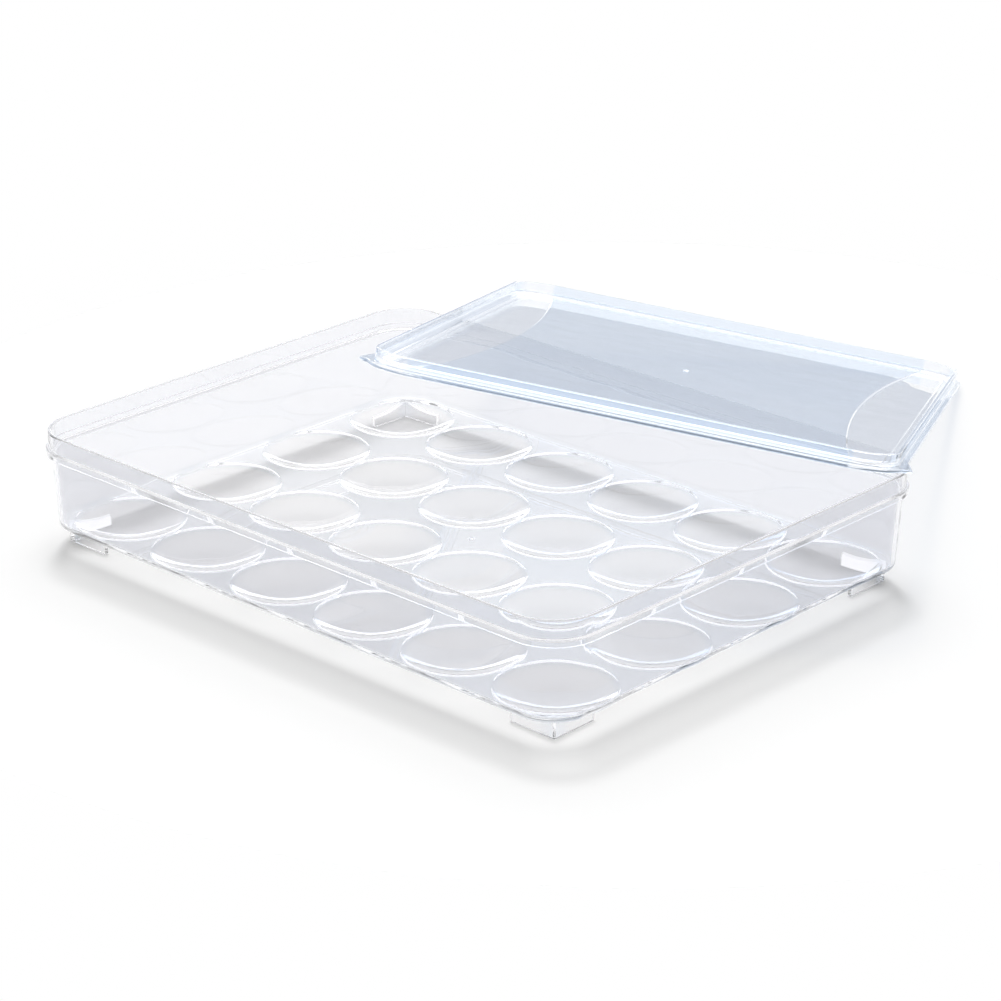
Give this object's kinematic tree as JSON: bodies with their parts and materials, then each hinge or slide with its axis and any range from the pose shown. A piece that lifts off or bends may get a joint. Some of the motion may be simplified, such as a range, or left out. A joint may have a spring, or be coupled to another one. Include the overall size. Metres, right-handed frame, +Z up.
{
  "type": "egg keeper with lid",
  "caption": "Clear rectangular egg keeper: a shallow tray with rows of round saucer cups, a rimmed wall and corner feet, and a loose tinted flat lid laid across its back rim.",
  "frame": {"origin": "middle of the whole object's box, tray and lid as they lie, at table height", "axes": "+Z up; +X along the tray's long sides; +Y from the tray towards the end of the lid that lies on the table"},
  "size_m": [0.3676, 0.4772, 0.1046],
  "materials": {
    "clear_tray": "clear polished styrene, colourless with a faint cool cast",
    "clear_lid": "clear polished styrene, tinted a light steel blue"
  },
  "bodies": {
    "tray": {"tray_wall": "clear_tray", "tray_rim": "clear_tray", "cup_row_1": "clear_tray", "cup_row_2": "clear_tray", "cup_row_3": "clear_tray", "cup_row_4": "clear_tray", "foot_front_left": "clear_tray", "foot_front_right": "clear_tray", "foot_back_left": "clear_tray", "foot_back_right": "clear_tray"},
    "lid": {"lid": "clear_lid"}
  },
  "joints": [
    {"name": "lid_lift", "type": "slide", "parent": "tray", "child": "lid", "axis": [0, 0, 1], "range_m": [0, 0.1]}
  ]
}
